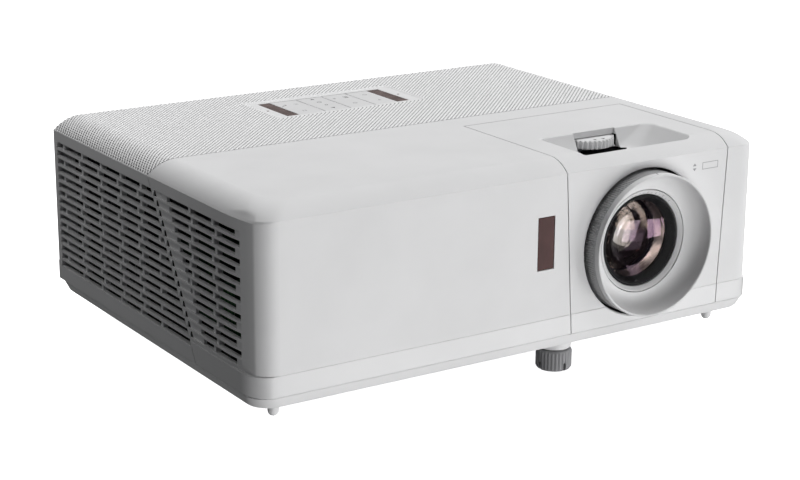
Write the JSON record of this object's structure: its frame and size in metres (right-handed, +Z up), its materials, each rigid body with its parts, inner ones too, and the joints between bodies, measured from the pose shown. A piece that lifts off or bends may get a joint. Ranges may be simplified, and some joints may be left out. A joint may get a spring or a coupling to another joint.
{
  "type": "projector",
  "caption": "White desktop laser projector with manual zoom and focus rings, a lens shift dial, slotted side grilles, a key panel and screw feet.",
  "frame": {"origin": "middle of the bounding box, at the level the feet stand on", "axes": "+X from the left side to the right side seen from in front, +Y from the lens to the back panel, +Z up"},
  "size_m": [0.374, 0.2864, 0.1401],
  "materials": {
    "white_plastic": "fine satin texture",
    "black_plastic": "satin",
    "grey_rubber": "matte",
    "steel": "satin",
    "alloy": "cast, satin",
    "lens_glass": "coated, clear",
    "smoked_plastic": "gloss, infrared-passing",
    "board": "solder mask",
    "phosphor": "coated"
  },
  "bodies": {
    "case": {"base_tray": "white_plastic", "front_cover": "white_plastic", "lens_cover": "white_plastic", "top_cover": "white_plastic", "back_panel": "white_plastic", "left_fan_frame": "black_plastic", "right_fan_frame": "black_plastic", "speaker": "black_plastic", "video_socket": "black_plastic", "serial_socket": "black_plastic", "power_inlet": "black_plastic", "audio_in_jack": "black_plastic", "audio_out_jack": "black_plastic", "lens_guide_rod_left": "steel", "lens_guide_rod_right": "steel", "wheel_motor": "steel", "hdmi_socket_1": "steel", "hdmi_socket_2": "steel", "network_socket": "steel", "usb_socket": "steel", "back_panel_screw_left": "steel", "back_panel_screw_right": "steel", "light_engine": "alloy", "chip_heatsink": "alloy", "laser_heatsink": "alloy", "laser_module": "alloy", "receiver_window": "smoked_plastic", "key_window_left": "smoked_plastic", "key_window_right": "smoked_plastic", "main_board": "board", "power_supply_board": "board", "keypad_board": "board"},
    "shift_carriage": {"lens_carriage": "alloy", "lens_barrel": "black_plastic", "rear_lens": "lens_glass"},
    "zoom_ring_turning": {"zoom_ring": "white_plastic"},
    "focus_ring_turning": {"focus_ring": "white_plastic"},
    "focus_group": {"front_lens_cell": "black_plastic", "front_lens": "lens_glass", "second_lens": "lens_glass"},
    "zoom_group": {"zoom_cell": "black_plastic", "zoom_lens": "lens_glass"},
    "shift_dial": {"lens_shift_dial": "white_plastic", "lens_shift_screw": "steel"},
    "front_foot_slider": {"front_foot_stem": "white_plastic"},
    "front_foot_turner": {"front_foot_knob": "grey_rubber"},
    "back_left_foot_slider": {"back_left_foot_stem": "steel"},
    "back_left_foot_turner": {"back_left_foot_pad": "grey_rubber"},
    "back_right_foot_slider": {"back_right_foot_stem": "steel"},
    "back_right_foot_turner": {"back_right_foot_pad": "grey_rubber"},
    "key_1": {"key_plate_1": "white_plastic"},
    "key_2": {"key_plate_2": "white_plastic"},
    "key_3": {"key_plate_3": "white_plastic"},
    "key_4": {"key_plate_4": "white_plastic"},
    "left_rotor": {"left_fan_rotor": "black_plastic"},
    "right_rotor": {"right_fan_rotor": "black_plastic"},
    "wheel": {"phosphor_wheel": "phosphor"}
  },
  "joints": [
    {"name": "lens_shift_slide", "type": "slide", "parent": "case", "child": "shift_carriage", "axis": [0, 0, 1], "range_m": [-0.0013, 0.0013]},
    {"name": "lens_shift_turn", "type": "hinge", "parent": "case", "child": "shift_dial", "pos_m": [0.0947, -0.0667, 0.1335], "axis": [0, 0, 1], "range_deg": [-180, 180]},
    {"name": "zoom_turn", "type": "hinge", "parent": "shift_carriage", "child": "zoom_ring_turning", "pos_m": [0.0922, -0.1317, 0.0804], "axis": [0, 1, 0], "range_deg": [0, 60]},
    {"name": "zoom_group_slide", "type": "slide", "parent": "shift_carriage", "child": "zoom_group", "axis": [0, 1, 0], "range_m": [0, 0.009]},
    {"name": "focus_turn", "type": "hinge", "parent": "shift_carriage", "child": "focus_ring_turning", "pos_m": [0.0922, -0.1257, 0.0804], "axis": [0, 1, 0], "range_deg": [-45, 45]},
    {"name": "focus_group_slide", "type": "slide", "parent": "shift_carriage", "child": "focus_group", "axis": [0, 1, 0], "range_m": [-0.001, 0.001]},
    {"name": "front_foot_slide", "type": "slide", "parent": "case", "child": "front_foot_slider", "axis": [0, 0, -1], "range_m": [0, 0.01]},
    {"name": "front_foot_turn", "type": "hinge", "parent": "front_foot_slider", "child": "front_foot_turner", "pos_m": [0.04, -0.1092, 0.0065], "axis": [0, 0, 1], "range_deg": [0, 1440]},
    {"name": "back_left_foot_slide", "type": "slide", "parent": "case", "child": "back_left_foot_slider", "axis": [0, 0, -1], "range_m": [0, 0.01]},
    {"name": "back_left_foot_turn", "type": "hinge", "parent": "back_left_foot_slider", "child": "back_left_foot_turner", "pos_m": [-0.141, 0.1183, 0.0065], "axis": [0, 0, 1], "range_deg": [0, 1440]},
    {"name": "back_right_foot_slide", "type": "slide", "parent": "case", "child": "back_right_foot_slider", "axis": [0, 0, -1], "range_m": [0, 0.01]},
    {"name": "back_right_foot_turn", "type": "hinge", "parent": "back_right_foot_slider", "child": "back_right_foot_turner", "pos_m": [0.141, 0.1183, 0.0065], "axis": [0, 0, 1], "range_deg": [0, 1440]},
    {"name": "key_1_press", "type": "slide", "parent": "case", "child": "key_1", "axis": [0, 0, -1], "range_m": [0, 0.0006], "stiffness_N_per_m": 600, "springref_m": -0.0006},
    {"name": "key_2_press", "type": "slide", "parent": "case", "child": "key_2", "axis": [0, 0, -1], "range_m": [0, 0.0006], "stiffness_N_per_m": 600, "springref_m": -0.0006},
    {"name": "key_3_press", "type": "slide", "parent": "case", "child": "key_3", "axis": [0, 0, -1], "range_m": [0, 0.0006], "stiffness_N_per_m": 600, "springref_m": -0.0006},
    {"name": "key_4_press", "type": "slide", "parent": "case", "child": "key_4", "axis": [0, 0, -1], "range_m": [0, 0.0006], "stiffness_N_per_m": 600, "springref_m": -0.0006},
    {"name": "left_rotor_spin", "type": "hinge", "parent": "case", "child": "left_rotor", "pos_m": [-0.1656, 0.0843, 0.0707], "axis": [1, 0, 0], "continuous": true},
    {"name": "right_rotor_spin", "type": "hinge", "parent": "case", "child": "right_rotor", "pos_m": [0.1646, 0.0843, 0.0707], "axis": [1, 0, 0], "continuous": true},
    {"name": "wheel_spin", "type": "hinge", "parent": "case", "child": "wheel", "pos_m": [0, -0.0427, 0.0695], "axis": [0, 1, 0], "continuous": true}
  ],
  "couplings": [
    {"joint": "lens_shift_turn", "follows": "lens_shift_slide", "rad_per_m": 2416.6},
    {"joint": "zoom_turn", "follows": "zoom_group_slide", "rad_per_m": 116.35},
    {"joint": "focus_turn", "follows": "focus_group_slide", "rad_per_m": 785.39},
    {"joint": "front_foot_turn", "follows": "front_foot_slide", "rad_per_m": 2513.3},
    {"joint": "back_left_foot_turn", "follows": "back_left_foot_slide", "rad_per_m": 2513.3},
    {"joint": "back_right_foot_turn", "follows": "back_right_foot_slide", "rad_per_m": 2513.3}
  ]
}
